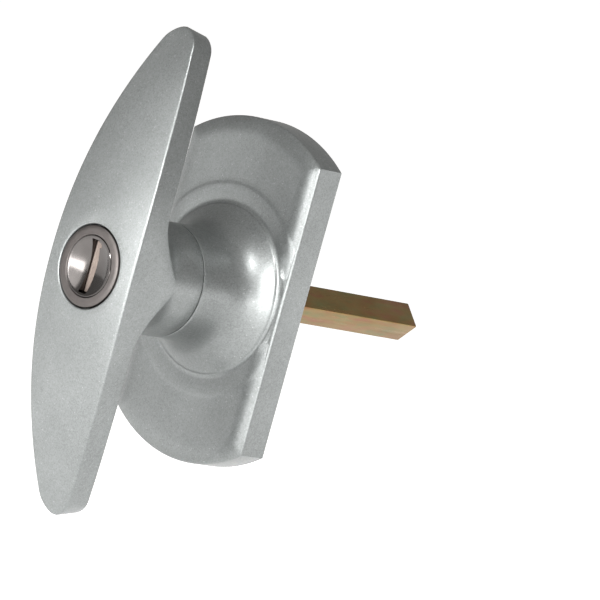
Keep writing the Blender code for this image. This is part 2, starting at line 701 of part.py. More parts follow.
def main():
    clear_scene()
    parts, helpers = collection("locking_t_handle"), collection("cutters")
    paint = material("grey_paint", ZINC_GREY, 0.45, 0.35)
    zinc = material("bare_zinc", BARE_ZINC, 0.35, 0.8)
    brass = material("brass", BRASS, 0.4, 0.9)
    steel = material("spring_steel", STEEL, 0.35, 0.9)
    passivated = material("yellow_passivated_steel", PASSIVATED, 0.45, 0.8)
    nylon = material("nylon", NYLON, 0.6, 0.0)

    make_rose(parts, helpers, paint)
    make_bush("front_bush", SEAM_Y + 0.6, LAND_Y[0] - GAP, nylon, parts)
    make_bush("rear_bush", LAND_Y[1] + GAP, RECESS_Y - 0.1, nylon, parts)
    make_wave_washer(steel, parts)
    make_handle_body(parts, helpers, paint)
    make_spindle(parts, helpers, passivated)
    make_roll_pin("spindle_roll_pin", (-8.4, ROLL_PIN_Y, 0), (8.4, ROLL_PIN_Y, 0), steel, parts, helpers)
    make_roll_pin("barrel_roll_pin", (-8.9, -38, -10), (-8.9, -38, 7.0), steel, parts, helpers)
    make_stop_washer(steel, parts, helpers)
    make_circlip(steel, parts)
    make_barrel(parts, helpers, zinc)
    make_plug(parts, helpers, zinc)
    make_plug_clip(steel, parts)
    make_shutter(brass, parts, helpers)
    make_lock_bolt(steel, parts, helpers)
    for number, (y, offset) in enumerate(zip(WAFER_YS, WAFER_OFFSETS), 1):
        make_wafer(number, y, offset, brass, parts, helpers)
        make_wafer_spring(number, y, steel, parts)


main()
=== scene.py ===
"""The finished look of the locking T-handle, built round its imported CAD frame.

The visible castings, the lock's face and the spindle are remade here with finer surfaces, and the pieces
inside keep their CAD shapes. Sizes are in millimetres in the named values, and MM turns them into metres.
"""

import json
import math

import bmesh
import bpy
from mathutils import Matrix, Vector

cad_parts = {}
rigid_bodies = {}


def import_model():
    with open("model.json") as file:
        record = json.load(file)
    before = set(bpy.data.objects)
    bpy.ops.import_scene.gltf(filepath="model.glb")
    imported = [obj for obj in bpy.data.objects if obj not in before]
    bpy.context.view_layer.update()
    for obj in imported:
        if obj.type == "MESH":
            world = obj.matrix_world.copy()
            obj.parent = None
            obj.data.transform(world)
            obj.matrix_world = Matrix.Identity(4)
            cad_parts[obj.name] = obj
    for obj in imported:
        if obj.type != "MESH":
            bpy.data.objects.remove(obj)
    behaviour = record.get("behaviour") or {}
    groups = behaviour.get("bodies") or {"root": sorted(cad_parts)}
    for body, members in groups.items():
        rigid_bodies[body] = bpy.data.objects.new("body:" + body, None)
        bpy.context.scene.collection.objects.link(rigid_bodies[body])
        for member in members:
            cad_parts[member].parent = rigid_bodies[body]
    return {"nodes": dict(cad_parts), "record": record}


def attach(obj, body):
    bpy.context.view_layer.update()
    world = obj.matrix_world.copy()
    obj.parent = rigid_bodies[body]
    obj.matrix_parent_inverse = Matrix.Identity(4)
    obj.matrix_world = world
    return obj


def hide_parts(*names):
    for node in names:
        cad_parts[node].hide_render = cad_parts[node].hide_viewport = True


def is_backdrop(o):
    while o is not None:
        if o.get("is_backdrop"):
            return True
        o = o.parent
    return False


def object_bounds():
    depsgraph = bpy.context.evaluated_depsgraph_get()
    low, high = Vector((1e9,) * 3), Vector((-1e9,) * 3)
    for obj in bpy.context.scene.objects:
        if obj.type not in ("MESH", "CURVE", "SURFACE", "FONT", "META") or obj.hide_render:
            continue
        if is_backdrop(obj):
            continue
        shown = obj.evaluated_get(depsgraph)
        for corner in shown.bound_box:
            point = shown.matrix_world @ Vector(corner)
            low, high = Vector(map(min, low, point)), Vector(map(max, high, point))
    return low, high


MM = 0.001
GAP = 0.3

SPINDLE_SIDE = 7.0
SPINDLE_END_Y = 62.3
SPINDLE_CHAMFER = 1.3
SPINDLE_EDGE = 0.3
SPINDLE_PIN_Y = -7.6
SPINDLE_PIN_HOLE_R = 1.55
LOCK_FACE_R = 9.9
FACE_Y = -51.5
SEAM_Y = -27.0
NECK_R = 14.0
ROSE_HALF_WIDTH = 22.6
ROSE_CORNER_Z = 35.9
ROSE_APEX_Z = 43.0

GRIP_HALF_LENGTH = 60.6
GRIP_HALF_WIDTH = 14.6
GRIP_BOW = 9.7
GRIP_DEPTH = 6.8
GRIP_CROWN = 0.8
GRIP_TAPER_POWER = 2.2
GRIP_TIP_SHARE = 0.868
GRIP_TIP_ROUND = 4.0
GRIP_TILT_SHARE = 0.6
EDGE_ROUND = 0.6
BACK_ROUND = 0.3
NECK_FLARE = 10.5
QUARTER = 64  # points round a quarter of the grip
FRONT_STEPS = 16  # loops between the lock's hole and the front's edge
BACK_STEPS = 22  # loops between the back's edge and the neck
HOLE_R = 10.2
HOLE_LIP = 0.4
SEAT_END_Y = -37.0
AXIS_R = 0.05  # the smallest ring, which closes a turned end

JOURNAL_R = 9.6
JOURNAL_END_Y = -1.0
JOURNAL_FLAT_X = 8.0
JOURNAL_FLAT_Y = -4.6
JOURNAL_CLEAR = 11.0  # half size of the cutters round the journal
CLIP_GROOVE_R = 8.6
CLIP_GROOVE_Y = (-2.9, -1.7)
SOCKET_END_Y = -10.0

ROSE_CENTRE_Y = -8.7
ROSE_ROLL_WIDTH = 4.6
ROSE_ROLL_DROP = 1.15
ROSE_EDGE_ROUND = 0.5
COLLAR_BASE_R = 21.8
COLLAR_BASE_Y = -9.0
COLLAR_SHOULDER = 1.6  # radius of the roll at the collar's base
COLLAR_SHOULDER_TILT = 25  # degrees from the axis, at the base
COLLAR_OPENING = 58  # degrees from the axis, the flare's steepest tilt
STEP_R = 26.3
STEP_HEIGHT = 0.13
BORE_R = 12.2
LAND_R = 9.95
LAND_Y = (-16.9, -11.1)
HUB_R = 17.0
RIM_WIDTH = 2.6
POCKET_Y = -3.9
RECESS_R = 12.8
RECESS_Y = -5.7
STOP_R = 15.2
STOP_INNER_R = 11.0
STOP_TURN = (168, 282)  # degrees from +X towards +Z
NOTCH_R = 13.3
NOTCH_START_R = 7.0
BOSS_Z = 29.0
BOSS_R = 5.5
BOSS_HOLE_R = 2.1
BOSS_HOLE_Y = -5.6
RIB_HALF_WIDTH = 1.0
RIB_BACK_Y = -0.6

BARREL_R = 8.2
BARREL_BACK_Y = -28.5
BARREL_BORE_R = 6.5
BARREL_PIN_X = -8.9
BARREL_PIN_Y = -38.0
BARREL_PIN_HOLE_R = 1.5
FLANGE_FACE_Y = -52.0
FLANGE_BACK_Y = -49.0
PLUG_HEAD_R = 7.4
PLUG_HEAD_BACK_Y = -46.8
PLUG_R = 6.2
PLUG_BACK_Y = -30.3
TAIL_R = 4.8
TAIL_END_Y = -17.6
DRIVER_R = 0.9
DRIVER_OFFSET = 1.84
DRIVER_END_Y = -14.5
DISH_R = 6.95
DISH_DEPTH = 1.5
SLOT_HALF_HEIGHT = 6.6
CHAMBER_HALF_HEIGHT = 6.5
FLAP_HALF_HEIGHT = 6.2
FLAP_Y = -49.6
FLAP_ROD_X = -1.15
FLAP_ROD_R = 0.4
SLOT_FRONT_Y = -54.0  # ahead of the face, so that the cutters pass through it
WAFERS = 5
WAFER_FIRST_Y = -44.2
WAFER_PITCH = 3.0
BOLT_Y = (-16.5, -11.5)
BOLT_HALF_WIDTH = 4.6
BOLT_LOW_Z = -5.5
BOLT_SLOT_TOP_Z = 12.0

# Camera, as an orbit about the object
AZIMUTH = 43.0
ELEVATION = 5.1
ROLL = -15.55
DISTANCE = 1.139
SHIFT_RIGHT = 0.01498
SHIFT_UP = -0.00178
LENS = 279.2
SENSOR = 36.0

# Stage, in metres
FLOOR_SIZE = 60
FLOOR_Z = -0.0625
FLOOR_GLOW = 0.72
SKY_COLOUR = (1.0, 0.99, 0.97, 1)
SKY_STRENGTH = 0.36
SOFTBOXES = [  # name, place, size and brightness
    ("front", (-0.02, -0.15, 0.035), (0.075, 0.1), 2.6),
    ("glint", (-0.08, -0.42, -0.012), (0.24, 0.08), 8.2),
    ("right", (0.2, 0.22, -0.018), (0.4, 0.085), 1.1),
    ("edge", (0.34, -0.37, -0.02), (0.42, 0.08), 7),
    ("key", (0.26, -0.62, 0.17), (0.2, 0.17), 36),
    ("high", (0.36, -0.35, 0.5), (0.07, 0.07), 140),
]


# ---------------------------------------------------------------- mesh helpers


def new_object(name, mesh):
    obj = bpy.data.objects.new(name, mesh)
    bpy.context.scene.collection.objects.link(obj)
    return obj


def mesh_from(name, bm):
    """A mesh in metres, with its faces turned outwards, from a bmesh in millimetres."""
    bmesh.ops.recalc_face_normals(bm, faces=bm.faces)
    bmesh.ops.scale(bm, vec=(MM, MM, MM), verts=bm.verts)
    mesh = bpy.data.meshes.new(name)
    bm.to_mesh(mesh)
    bm.free()
    return mesh


def lofted(name, loops, closed=False):
    """A skin over loops of equal length, capped at its ends or closed on itself."""
    bm = bmesh.new()
    rings = [[bm.verts.new(point) for point in loop] for loop in loops]
    pairs = list(zip(rings, rings[1:]))
    if closed:
        pairs.append((rings[-1], rings[0]))
    for first, second in pairs:
        for i in range(len(first)):
            j = (i + 1) % len(first)
            bm.faces.new((first[i], first[j], second[j], second[i]))
    if not closed:
        bm.faces.new(rings[0])
        bm.faces.new(rings[-1])
    return new_object(name, mesh_from(name, bm))


def box(name, low, high):
    bm = bmesh.new()
    bmesh.ops.create_cube(bm, size=1)
    size = Vector(high) - Vector(low)
    middle = (Vector(high) + Vector(low)) / 2
    bmesh.ops.transform(bm, matrix=Matrix.LocRotScale(middle, None, size), verts=bm.verts)
    return new_object(name, mesh_from(name, bm))


def rod(name, radius, start, end, sides=24):
    bm = bmesh.new()
    run = Vector(end) - Vector(start)
    turn = run.to_track_quat("Z", "Y")
    place = Matrix.LocRotScale((Vector(start) + Vector(end)) / 2, turn, None)
    bmesh.ops.create_cone(
        bm, cap_ends=True, segments=sides, radius1=radius, radius2=radius, depth=run.length, matrix=place
    )
    return new_object(name, mesh_from(name, bm))


def turned(name, profile, steps=96, closed=False):
    """A turned shape about the spindle's axis, from a profile of (radius, y) points."""
    turns = [2 * math.pi * i / steps for i in range(steps)]
    radii = [r if closed else max(r, 0.02) for r, _ in profile]
    loops = [[(r * math.cos(a), y, r * math.sin(a)) for a in turns] for r, (_, y) in zip(radii, profile)]
    return lofted(name, loops, closed)


def prism(name, outline, low_y, high_y):
    """A straight block along the spindle's axis, from its (x, z) outline."""
    return lofted(name, [[(x, y, z) for x, z in outline] for y in (low_y, high_y)])


def evaluated_mesh(obj):
    graph = bpy.context.evaluated_depsgraph_get()
    return bpy.data.meshes.new_from_object(obj.evaluated_get(graph))


def apply_modifiers(obj):
    solid = evaluated_mesh(obj)
    obj.modifiers.clear()
    obj.data = solid


def combine(obj, other, operation):
    """Applies a Boolean and removes the other object."""
    change = obj.modifiers.new(operation, "BOOLEAN")
    change.operation = operation
    change.solver = "EXACT"
    change.object = other
    apply_modifiers(obj)
    bpy.data.objects.remove(other)


def soften(obj, width, segments):
    """A narrow bevel on the sharp edges, applied."""
    bevel = obj.modifiers.new("soften", "BEVEL")
    bevel.width = width * MM
    bevel.segments = segments
    bevel.limit_method = "ANGLE"
    bevel.angle_limit = math.radians(35)
    bevel.use_clamp_overlap = True
    apply_modifiers(obj)


def shade(obj, look, angle):
    """Gives the object its material, smooth up to an angle between faces in degrees."""
    obj.data.materials.clear()
    obj.data.materials.append(look)
    obj.data.shade_smooth()
    obj.data.set_sharp_from_angle(angle=math.radians(angle))
    return obj


def arc(centre, radius, start, end, count):
    """Points of a flat arc between two angles in degrees."""
    angles = [math.radians(start + (end - start) * i / count) for i in range(count + 1)]
    return [(centre[0] + radius * math.cos(a), centre[1] + radius * math.sin(a)) for a in angles]


# ---------------------------------------------------------------- grip


def grip_half_width(z):
    share = min(1, abs(z) / GRIP_HALF_LENGTH)
    lens = 1 - (share * GRIP_TIP_SHARE) ** GRIP_TAPER_POWER
    from_tip = min(1, (GRIP_HALF_LENGTH - min(abs(z), GRIP_HALF_LENGTH)) / GRIP_TIP_ROUND)
    return GRIP_HALF_WIDTH * lens * math.sqrt(max(0, 1 - (1 - from_tip) ** 2))


def grip_quarter():
    """Evenly spaced points of the outline, from the middle of its right side to the upper tip."""
    fine = 1500
    zs = [GRIP_HALF_LENGTH * math.sin(math.pi / 2 * i / fine) for i in range(fine + 1)]
    points = [(grip_half_width(z), z) for z in zs]
    points[-1] = (0.0, GRIP_HALF_LENGTH)
    run = [0.0]
    for (x0, z0), (x1, z1) in zip(points, points[1:]):
        run.append(run[-1] + math.hypot(x1 - x0, z1 - z0))
    chosen, at = [], 0
    for i in range(QUARTER + 1):
        wanted = run[-1] * i / QUARTER
        while at < fine - 1 and run[at + 1] < wanted:
            at += 1
        span = run[at + 1] - run[at]
        t = (wanted - run[at]) / span if span else 0
        (x0, z0), (x1, z1) = points[at], points[at + 1]
        chosen.append((x0 + (x1 - x0) * t, z0 + (z1 - z0) * t))
    return chosen


def mirrored(quarter):
    """A closed outline from one quarter of it."""
    upper = quarter + [(-x, z) for x, z in reversed(quarter[:-1])]
    return upper + [(x, -z) for x, z in reversed(upper[1:-1])]


def outward(outline):
    """Unit normals of a closed outline that runs from +X towards +Z."""
    normals = []
    for i in range(len(outline)):
        (x0, z0), (x1, z1) = outline[i - 1], outline[(i + 1) % len(outline)]
        run = math.hypot(x1 - x0, z1 - z0)
        normals.append(((z1 - z0) / run, -(x1 - x0) / run))
    return normals


def bowed(x, z, depth):
    """A point of the straight grip, moved onto its bow."""
    share = z / GRIP_HALF_LENGTH
    lean = math.atan(2 * GRIP_BOW * share / GRIP_HALF_LENGTH) * GRIP_TILT_SHARE
    return (x, FACE_Y + GRIP_BOW * share**2 + depth * math.cos(lean), z - depth * math.sin(lean))


def crown(x, z):
    """How far the front bulges at a point."""
    half = max(0.4, grip_half_width(z) - EDGE_ROUND)
    return GRIP_CROWN * (half / GRIP_HALF_WIDTH) ** 2 * max(0, 1 - (x / half) ** 2)


def smooth_max(a, b, blend):
    """The larger of two values, rounded where they cross."""
    h = max(blend - abs(a - b), 0) / blend
    return max(a, b) + h * h * blend / 4


def back_depth(x, z):
    """Depth of the grip's back below its front edge: level, and flared onto the neck."""
    r = max(NECK_R, math.hypot(x, z))
    reach = min(NECK_FLARE, r - NECK_R)
    level = FACE_Y + GRIP_DEPTH + NECK_FLARE
    flare_y = level - math.sqrt(max(0, NECK_FLARE**2 - (NECK_FLARE - reach) ** 2))
    front = FACE_Y + GRIP_BOW * (z / GRIP_HALF_LENGTH) ** 2
    return smooth_max(GRIP_DEPTH, flare_y - front, 1.2)


def neck_path(inner, outer, share):
    """A point between the neck's circle and the grip's edge, closer together towards the neck."""
    quarter_arc = NECK_FLARE * math.pi / 2
    rim = math.hypot(*outer)
    flared = NECK_R + NECK_FLARE

    def travelled(r):
        if r >= flared:
            return quarter_arc + r - flared
        return NECK_FLARE * math.acos(max(-1, min(1, 1 - (r - NECK_R) / NECK_FLARE)))

    wanted = travelled(rim) * share**1.5
    if wanted > quarter_arc:
        r = flared + wanted - quarter_arc
    else:
        r = NECK_R + NECK_FLARE * (1 - math.cos(wanted / NECK_FLARE))
    low, high = 0.0, 1.0
    for _ in range(30):
        t = (low + high) / 2
        here = math.hypot(inner[0] + (outer[0] - inner[0]) * t, inner[1] + (outer[1] - inner[1]) * t)
        low, high = (t, high) if here < r else (low, t)
    return (inner[0] + (outer[0] - inner[0]) * low, inner[1] + (outer[1] - inner[1]) * low)


def unit_circle(count):
    turns = [2 * math.pi * i / count for i in range(count)]
    return [(math.cos(a), math.sin(a)) for a in turns]


def level_ring(circle, radius, y):
    """A loop square to the spindle's axis."""
    return [(radius * x, y, radius * z) for x, z in circle]


def grip_inset(edge, inset):
    """A point of the outline moved inwards, by less at the narrow tips."""
    (x, z), (nx, nz) = edge
    limit = min(inset, 0.45 * grip_half_width(z) + 0.35)
    return (x - nx * limit, z - nz * limit)


def grip_front_loops(edges, circle):
    """From the bottom of the lock's hole, over the front and round its edge."""
    seat_r, seat_y = BARREL_R + GAP, FLANGE_BACK_Y + GAP
    hole = ((AXIS_R, SEAT_END_Y), (seat_r, SEAT_END_Y), (seat_r, seat_y), (HOLE_R, seat_y))
    loops = [level_ring(circle, radius, y) for radius, y in hole]
    for grow, drop in ((0, 0.4), (0.05, 0.16), (0.18, 0.04), (HOLE_LIP, 0)):
        lip = [((HOLE_R + grow) * x, (HOLE_R + grow) * z) for x, z in circle]
        loops.append([bowed(x, z, drop - crown(x, z)) for x, z in lip])
    for k in range(1, FRONT_STEPS):
        share = (k / FRONT_STEPS) ** 0.85
        loop = []
        for edge, (cx, cz) in zip(edges, circle):
            ex, ez = grip_inset(edge, EDGE_ROUND)
            sx, sz = (HOLE_R + HOLE_LIP) * cx, (HOLE_R + HOLE_LIP) * cz
            x, z = sx + (ex - sx) * share, sz + (ez - sz) * share
            loop.append(bowed(x, z, -crown(x, z)))
        loops.append(loop)
    for turn in (0, 15, 30, 45, 60, 75, 90):
        a = math.radians(turn)
        inset = EDGE_ROUND * (1 - math.sin(a))
        drop = EDGE_ROUND * (1 - math.cos(a))
        loops.append([bowed(*grip_inset(edge, inset), drop) for edge in edges])
    return loops


def grip_back_loops(edges, circle):
    """Down the side wall, round the back's edge and in to the neck."""
    neck = [(NECK_R * x, NECK_R * z) for x, z in circle]
    rounds = []
    for ((x, z), _), (cx, cz) in zip(edges, neck):
        rounds.append(min(BACK_ROUND, BACK_ROUND * math.hypot(x - cx, z - cz)))
    loops = []
    for share in (0.33, 0.67, 1.0):
        loop = []
        for ((x, z), _), rounding in zip(edges, rounds):
            end = back_depth(x, z) - rounding
            loop.append(bowed(x, z, EDGE_ROUND + (end - EDGE_ROUND) * share))
        loops.append(loop)
    for turn in (30, 60, 90):
        a = math.radians(turn)
        loop = []
        for edge, rounding in zip(edges, rounds):
            x, z = grip_inset(edge, rounding * (1 - math.cos(a)))
            loop.append(bowed(x, z, back_depth(*edge[0]) - rounding * (1 - math.sin(a))))
        loops.append(loop)
    for k in range(BACK_STEPS - 1, -1, -1):
        loop = []
        for inner, edge, rounding in zip(neck, edges, rounds):
            x, z = neck_path(inner, grip_inset(edge, rounding), k / BACK_STEPS)
            loop.append(bowed(x, z, back_depth(x, z)))
        loops.append(loop)
    return loops


def grip_cutters():
    """The bores, slots and flats inside the grip's neck and journal."""
    seat_r, tail_r = BARREL_R + GAP, TAIL_R + 0.4
    tail_bore = [
        (0, SEAT_END_Y - 1),
        (seat_r, SEAT_END_Y - 1),
        (seat_r, BARREL_BACK_Y + GAP),
        (BARREL_BORE_R, BARREL_BACK_Y + GAP),
        (BARREL_BORE_R, SEAM_Y + 0.4),
        (tail_r, SEAM_Y + 0.4),
        (tail_r, BOLT_Y[0] - 0.2),
        (0, BOLT_Y[0] - 0.2),
    ]
    start, end = CLIP_GROOVE_Y
    clear = JOURNAL_CLEAR
    groove = [(CLIP_GROOVE_R, start), (CLIP_GROOVE_R, end), (clear, end), (clear, start)]
    slot_low = (-BOLT_HALF_WIDTH - GAP, BOLT_Y[0] - GAP, BOLT_LOW_Z - GAP)
    slot_high = (BOLT_HALF_WIDTH + GAP, BOLT_Y[1] + GAP, BOLT_SLOT_TOP_Z)
    pin_ends = (BARREL_PIN_X, BARREL_PIN_Y, -16), (BARREL_PIN_X, BARREL_PIN_Y, 7.5)
    return [
        turned("tail_bore", tail_bore, 64),
        box("bolt_slot", slot_low, slot_high),
        square_bar("socket", SOCKET_END_Y, 2, SPINDLE_SIDE / 2 + GAP),
        rod("pin_hole", SPINDLE_PIN_HOLE_R, (-clear, SPINDLE_PIN_Y, 0), (clear, SPINDLE_PIN_Y, 0)),
        rod("barrel_pin_hole", BARREL_PIN_HOLE_R, *pin_ends),
        turned("clip_groove", groove, 64, closed=True),
        box("flat_left", (-clear, JOURNAL_FLAT_Y, -clear), (-JOURNAL_FLAT_X, 1, clear)),
        box("flat_right", (JOURNAL_FLAT_X, JOURNAL_FLAT_Y, -clear), (clear, 1, clear)),
    ]


def make_grip(paint):
    outline = mirrored(grip_quarter())
    edges = list(zip(outline, outward(outline)))
    circle = unit_circle(len(outline))
    journal = [
        (NECK_R, SEAM_Y - 3.5),
        (NECK_R, SEAM_Y - 0.3),
        (NECK_R - 0.08, SEAM_Y - 0.1),
        (NECK_R - 0.3, SEAM_Y),
        (JOURNAL_R, SEAM_Y),
        (JOURNAL_R, JOURNAL_END_Y - 0.4),
        (JOURNAL_R - 0.4, JOURNAL_END_Y),
        (AXIS_R, JOURNAL_END_Y),
    ]
    loops = grip_front_loops(edges, circle) + grip_back_loops(edges, circle)
    loops += [level_ring(circle, radius, y) for radius, y in journal]
    grip = lofted("grip", loops)
    for cutter in grip_cutters():
        combine(grip, cutter, "DIFFERENCE")
    return shade(grip, paint, 38)


# ---------------------------------------------------------------- spindle


def square_bar(name, start_y, end_y, half, chamfer=0.0):
    """A square bar standing on its corner, its long edges rounded."""
    square = []
    for quarter in range(4):
        for x, z in arc((half - SPINDLE_EDGE, half - SPINDLE_EDGE), SPINDLE_EDGE, 0, 90, 4):
            a = math.radians(45 + 90 * quarter)
            square.append((x * math.cos(a) - z * math.sin(a), x * math.sin(a) + z * math.cos(a)))
    if not chamfer:
        stages = [(start_y, 1), (end_y, 1)]
    else:
        small = 1 - chamfer / half
        stages = [(start_y, small), (start_y + chamfer, 1)]
        stages += [(start_y + (end_y - start_y) * share, 1) for share in (0.25, 0.5, 0.75)]
        stages += [(end_y - chamfer - 0.25, 1), (end_y - chamfer, 1 - 0.05 / half), (end_y, small)]
    return lofted(name, [[(x * share, y, z * share) for x, z in square] for y, share in stages])


def make_spindle(look):
    start = SOCKET_END_Y + GAP
    bar = square_bar("square_spindle", start, SPINDLE_END_Y, SPINDLE_SIDE / 2, SPINDLE_CHAMFER)
    hole = rod("cross_hole", SPINDLE_PIN_HOLE_R, (-8, SPINDLE_PIN_Y, 0), (8, SPINDLE_PIN_Y, 0))
    combine(bar, hole, "DIFFERENCE")
    return shade(bar, look, 30)


# ---------------------------------------------------------------- rose


def arc_outline(angle):
    """Distance from the axis to the rose's two arcs, carried on past the flats."""
    rise = ROSE_APEX_Z - ROSE_CORNER_Z
    radius = (ROSE_HALF_WIDTH**2 + rise**2) / (2 * rise)
    centre = ROSE_APEX_Z - radius
    across, up = abs(math.cos(angle)), abs(math.sin(angle))
    return centre * up + math.sqrt(radius**2 - (centre * across) ** 2)


def rose_radius(angle):
    """Distance from the axis to the rose's outline, with its two flats."""
    across = abs(math.cos(angle))
    reach = arc_outline(angle)
    return min(reach, ROSE_HALF_WIDTH / across) if across > 1e-9 else reach


def rose_angles(count):
    """Angles round the outline, the same number on each of its four sides."""
    corner = math.atan2(ROSE_CORNER_Z, ROSE_HALF_WIDTH)
    stops = [-corner, corner, math.pi - corner, math.pi + corner, 2 * math.pi - corner]
    angles = []
    for start, end in zip(stops, stops[1:]):
        angles += [start + (end - start) * i / count for i in range(count)]
    return angles


def rose_front_y(radius, angle):
    """The front face is level, and rolls off softly towards its outline."""
    from_edge = min(arc_outline(angle) - radius, ROSE_HALF_WIDTH - radius * abs(math.cos(angle)))
    roll = max(0, 1 - from_edge / ROSE_ROLL_WIDTH)
    return ROSE_CENTRE_Y + ROSE_ROLL_DROP * roll**2


def collar_profile(shoulder_steps, flare_steps):
    """(radius, y) from the base to the seam: a rolled shoulder, then a flare that ends straight."""
    first, last = math.radians(COLLAR_SHOULDER_TILT), math.radians(COLLAR_OPENING)
    profile = []
    for i in range(1, shoulder_steps + 1):
        tilt = first + (last - first) * i / shoulder_steps
        r = COLLAR_BASE_R - 0.7 - COLLAR_SHOULDER * (math.cos(first) - math.cos(tilt))
        profile.append((r, COLLAR_BASE_Y - COLLAR_SHOULDER * (math.sin(tilt) - math.sin(first))))
    start_r, start_y = profile[-1]
    end_y = SEAM_Y + GAP + 0.25
    rise, run = start_r - NECK_R, start_y - end_y
    power = math.tan(last) * run / rise
    for i in range(1, flare_steps + 1):
        share = 1 - i / flare_steps
        profile.append((NECK_R + rise * share**power, end_y + run * share))
    profile.append((NECK_R - 0.07, SEAM_Y + GAP + 0.08))
    profile.append((NECK_R - 0.25, SEAM_Y + GAP))
    return profile


def rose_loops():
    """Closed on itself: the rim, the front, the collar, its bore, and the hollow back."""
    angles = rose_angles(48)

    def polar(radii, ys):
        return [(r * math.cos(a), y, r * math.sin(a)) for r, y, a in zip(radii, ys, angles)]

    def ring(radius, y):
        return polar([radius] * len(angles), [y] * len(angles))

    def outline(inset, y):
        return polar([rose_radius(a) - inset for a in angles], [y] * len(angles))

    def rim(inset, drop):
        radii = [rose_radius(a) - inset for a in angles]
        return polar(radii, [rose_front_y(r, a) + drop for r, a in zip(radii, angles)])

    def face(radius, lift, inset, share=1.0):
        """A loop on the front, kept inside the rounded rim, or part of the way there from it."""
        radii = []
        for a in angles:
            start = rose_radius(a) - ROSE_EDGE_ROUND
            radii.append(start + (min(radius, rose_radius(a) - inset) - start) * share)
        return polar(radii, [rose_front_y(r, a) - lift for r, a in zip(radii, angles)])

    back = ((RIM_WIDTH, 0), (0.3, 0), (0.09, -0.09), (0, -0.3), (0, -3.5))
    loops = [outline(inset, y) for inset, y in back]
    for turn in (0, 18, 36, 54, 72, 90):
        a = math.radians(turn)
        loops.append(rim(ROSE_EDGE_ROUND * (1 - math.cos(a)), ROSE_EDGE_ROUND * (1 - math.sin(a))))
    for k in range(1, 17):
        loops.append(face(STEP_R + 0.6, 0, 0.62, (k / 16) ** 1.3))
    loops += [
        face(STEP_R + 0.2, STEP_HEIGHT * 0.3, 0.64),
        face(STEP_R - 0.2, STEP_HEIGHT * 0.85, 0.66),
        face(STEP_R - 0.6, STEP_HEIGHT, 0.68),
        face(STEP_R - 1.4, STEP_HEIGHT, 0.7),
        face(STEP_R - 3.2, STEP_HEIGHT * 0.6, 0.72),
        face(COLLAR_BASE_R + 0.6, 0.03, 0.75),
    ]
    for inset, lift in ((-0.2, 0.03), (0.05, 0.06), (0.25, 0.12), (0.42, 0.19), (0.56, 0.27)):
        radii = [min(COLLAR_BASE_R - inset, rose_radius(a) - 0.95 - inset * 0.5) for a in angles]
        loops.append(polar(radii, [COLLAR_BASE_Y + 0.3 - lift] * len(angles)))
    loops += [ring(r, y) for r, y in collar_profile(10, 30)]
    inside = [
        (BORE_R, SEAM_Y + GAP),
        (BORE_R, LAND_Y[0]),
        (LAND_R, LAND_Y[0]),
        (LAND_R, LAND_Y[1]),
        (BORE_R, LAND_Y[1]),
        (BORE_R, RECESS_Y),
        (RECESS_R, RECESS_Y),
        (RECESS_R, 0),
        (HUB_R, 0),
        (HUB_R, POCKET_Y),
    ]
    loops += [ring(r, y) for r, y in inside]
    loops.append(outline(RIM_WIDTH, POCKET_Y))
    return loops


def cut_bolt_and_stop(rose):
    """The bolt's two notches in the bore, and the groove that the stop washer's tab runs in."""
    half = BOLT_HALF_WIDTH + GAP
    front, back = BOLT_Y[0] - 2 * GAP, BOLT_Y[1] + 2 * GAP
    start, end = STOP_TURN
    stop = arc((0, 0), STOP_R, start, end, 40) + arc((0, 0), STOP_INNER_R, end, start, 40)
    combine(rose, box("notch_up", (-half, front, NOTCH_START_R), (half, back, NOTCH_R)), "DIFFERENCE")
    combine(rose, box("notch_right", (NOTCH_START_R, front, -half), (NOTCH_R, back, half)), "DIFFERENCE")
    combine(rose, prism("stop_travel", stop, RECESS_Y, 1), "DIFFERENCE")


def add_boss(rose, side):
    """A fixing boss in the hollow back, with a rib on each side of it and its screw hole."""
    z = side * BOSS_Z
    combine(rose, rod("boss", BOSS_R, (0, POCKET_Y - 0.8, z), (0, 0, z), 64), "UNION")
    ribs = {
        "rib": (HUB_R - 1.0, BOSS_Z - BOSS_R + 0.8),
        "outer_rib": (BOSS_Z + BOSS_R - 0.8, ROSE_APEX_Z - RIM_WIDTH + 0.8),
    }
    for name, ends in ribs.items():
        low, high = sorted(side * end for end in ends)
        corners = (-RIB_HALF_WIDTH, POCKET_Y - 0.5, low), (RIB_HALF_WIDTH, RIB_BACK_Y, high)
        combine(rose, box(name, *corners), "UNION")
    combine(rose, rod("boss_hole", BOSS_HOLE_R, (0, BOSS_HOLE_Y, z), (0, 1, z), 40), "DIFFERENCE")


def make_rose(paint):
    rose = lofted("rose_plate", rose_loops(), closed=True)
    cut_bolt_and_stop(rose)
    for side in (-1, 1):
        add_boss(rose, side)
    return shade(rose, paint, 32)


# ---------------------------------------------------------------- lock


